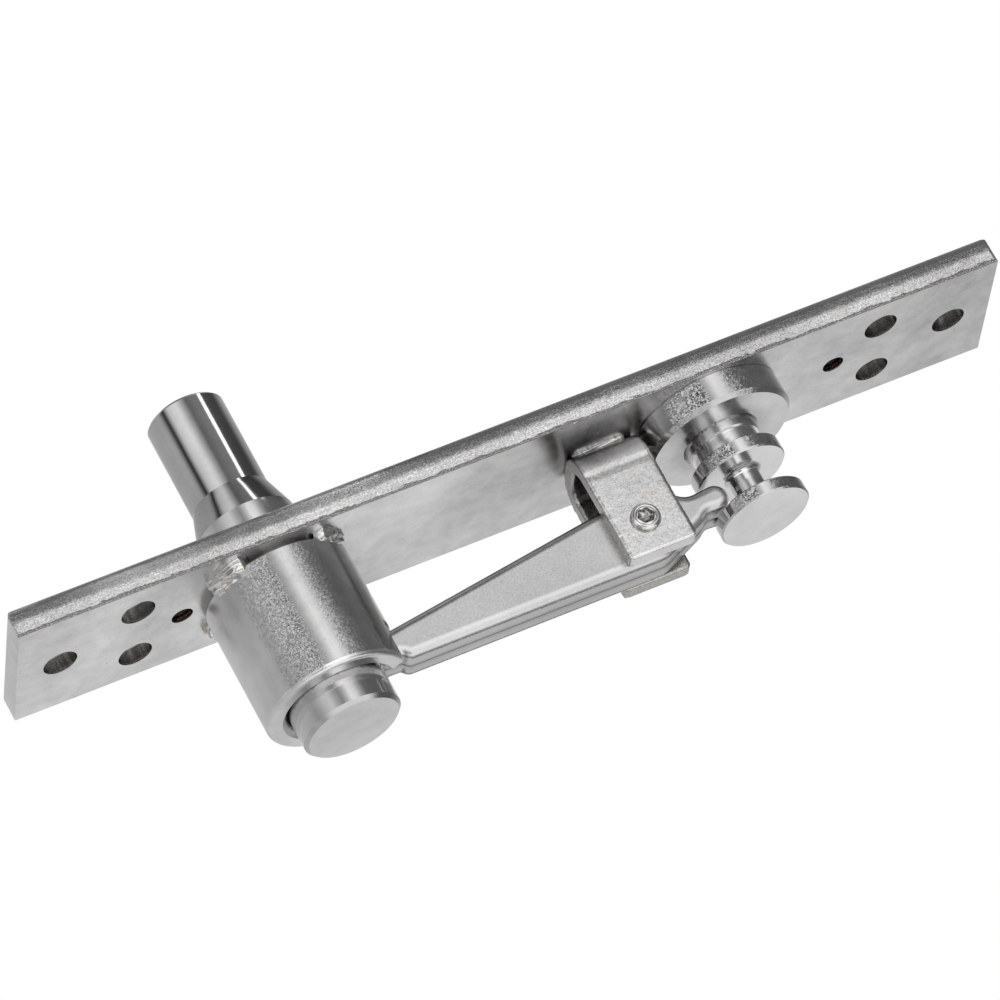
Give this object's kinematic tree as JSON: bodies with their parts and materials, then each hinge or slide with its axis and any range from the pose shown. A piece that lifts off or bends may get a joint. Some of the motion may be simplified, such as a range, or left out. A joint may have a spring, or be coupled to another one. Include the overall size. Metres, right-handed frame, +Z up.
{
  "type": "pivot hinge",
  "caption": "Plate with a sliding pivot pin in a welded housing, a rocking lever in a folded bracket and a threaded spool that draws the pin in.",
  "frame": {"origin": "centre of the plate's outer face, which is the centre of its fixing holes", "axes": "+X along the plate from the pin towards the adjuster, +Y across it on the side of the lever screw's head, +Z up through the plate into the mechanism; the pin points down, along -Z"},
  "size_m": [0.1954, 0.03, 0.0704],
  "materials": {
    "zinc_bar": "zinc-plated rolled and cut bar, fine bright grain",
    "zinc_sheet": "zinc-plated stamped strip, matt and clouded",
    "turned_steel": "turned, zinc-plated, polished with fine tool rings",
    "weld": "plated weld bead, glossy and slightly bronze"
  },
  "bodies": {
    "root": {"mounting_plate": "zinc_bar", "pin_housing": "zinc_bar", "housing_welds": "weld", "lever_bracket": "zinc_sheet", "bracket_welds": "weld", "lever_bush": "turned_steel", "lever_screw": "turned_steel", "adjuster_boss": "zinc_bar"},
    "pin": {"pivot_pin": "turned_steel"},
    "lever": {"lever_blade_near": "zinc_sheet", "lever_blade_far": "zinc_sheet"},
    "spool": {"adjuster_spool": "turned_steel"}
  },
  "joints": [
    {"name": "pin_slide", "type": "slide", "parent": "root", "child": "pin", "axis": [0, 0, 1], "range_m": [0, 0.02]},
    {"name": "lever_tilt", "type": "hinge", "parent": "root", "child": "lever", "pos_m": [0.0168, 0, 0.0248], "axis": [0, 1, 0], "range_deg": [0, 18.4]},
    {"name": "spool_slide", "type": "slide", "parent": "root", "child": "spool", "axis": [0, 0, 1], "range_m": [-0.00456, 0]}
  ],
  "couplings": [
    {"joint": "lever_tilt", "follows": "pin_slide", "rad_per_m": 15.98},
    {"joint": "spool_slide", "follows": "pin_slide", "ratio": -0.2275}
  ]
}
